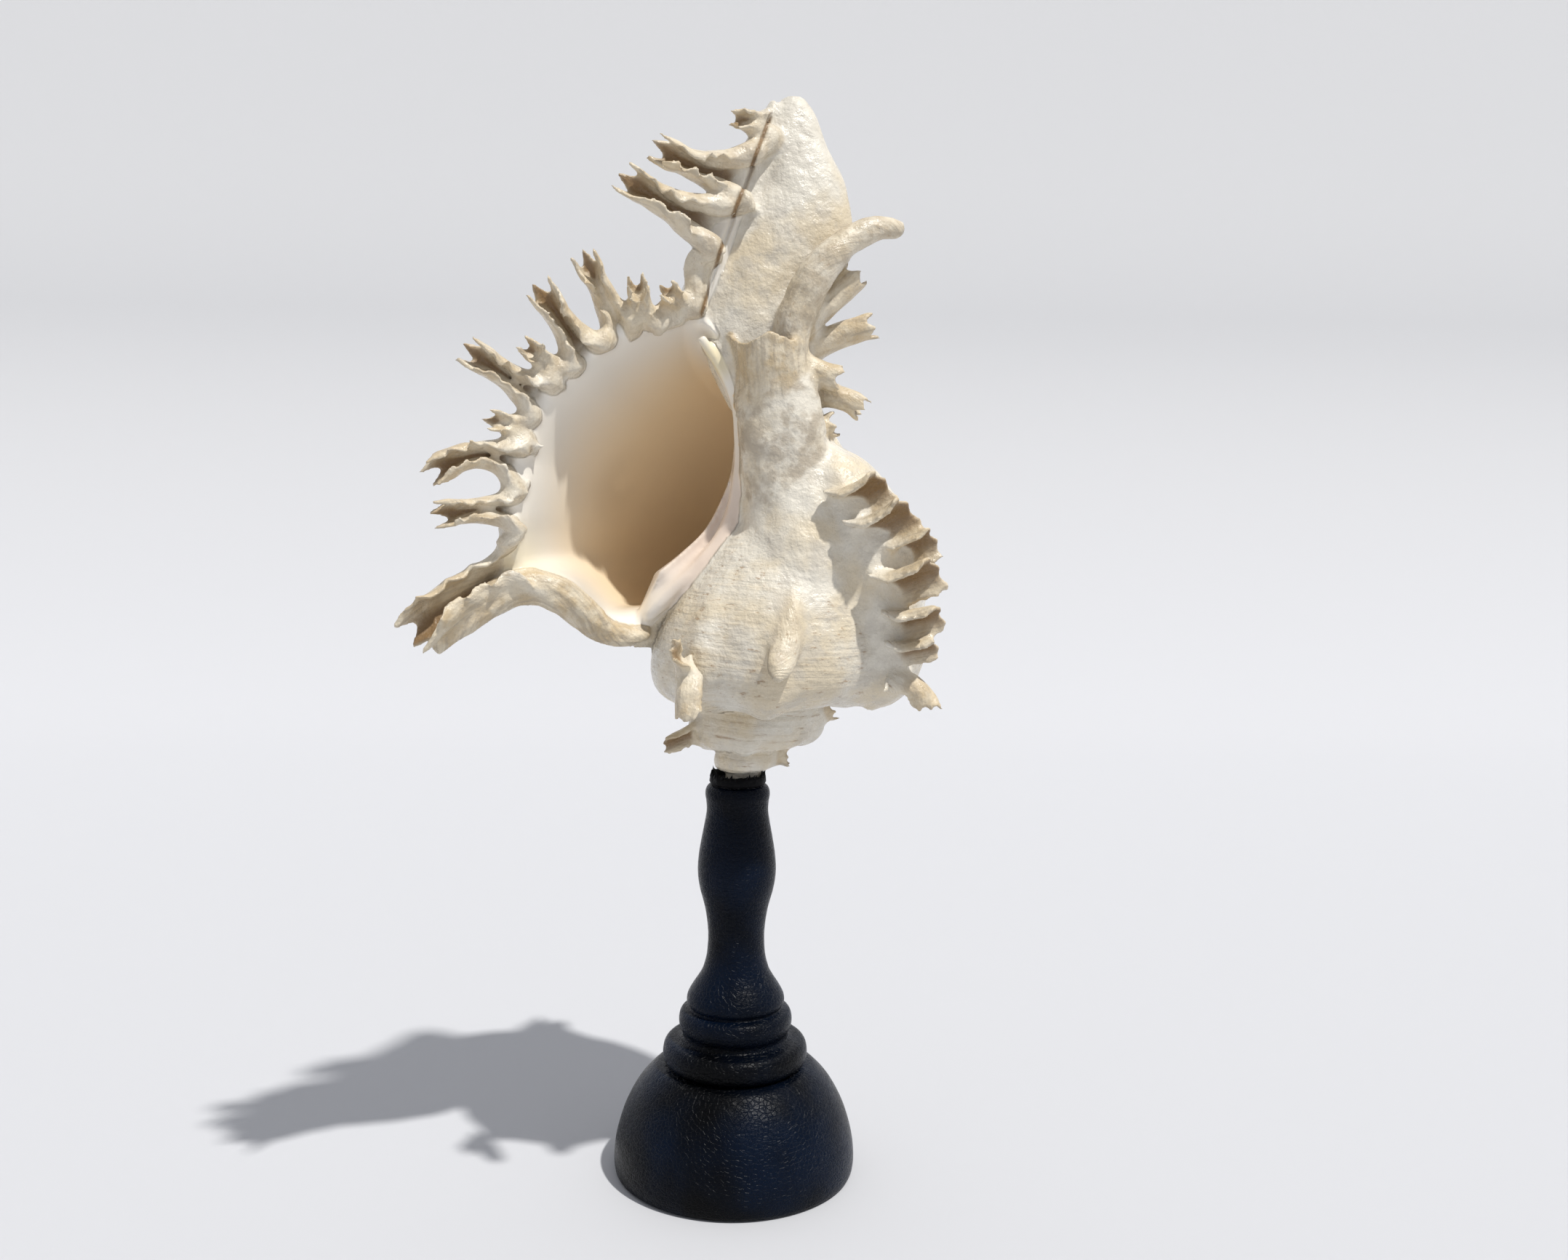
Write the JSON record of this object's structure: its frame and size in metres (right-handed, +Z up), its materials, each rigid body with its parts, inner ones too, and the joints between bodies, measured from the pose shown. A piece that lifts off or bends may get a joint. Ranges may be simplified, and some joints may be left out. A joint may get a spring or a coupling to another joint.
{
  "type": "mounted murex shell",
  "caption": "Large branched murex shell, spire down and mouth to the front, held in a putty cup on a black turned stand.",
  "frame": {"origin": "centre of the stand's flat underside", "axes": "+Z up along the stand, -Y out of the side that the shell's mouth faces, +X to the viewer's right"},
  "size_m": [0.1236, 0.0881, 0.2601],
  "materials": {
    "shell": "bleached lime shell, satin outside and porcelain-smooth inside",
    "painted_wood": "black brushed paint, semi-gloss",
    "putty": "black, torn edge"
  },
  "bodies": {
    "root": {"shell": "shell", "stand_base": "painted_wood", "stand_column": "painted_wood", "putty_cup": "putty"}
  },
  "joints": []
}
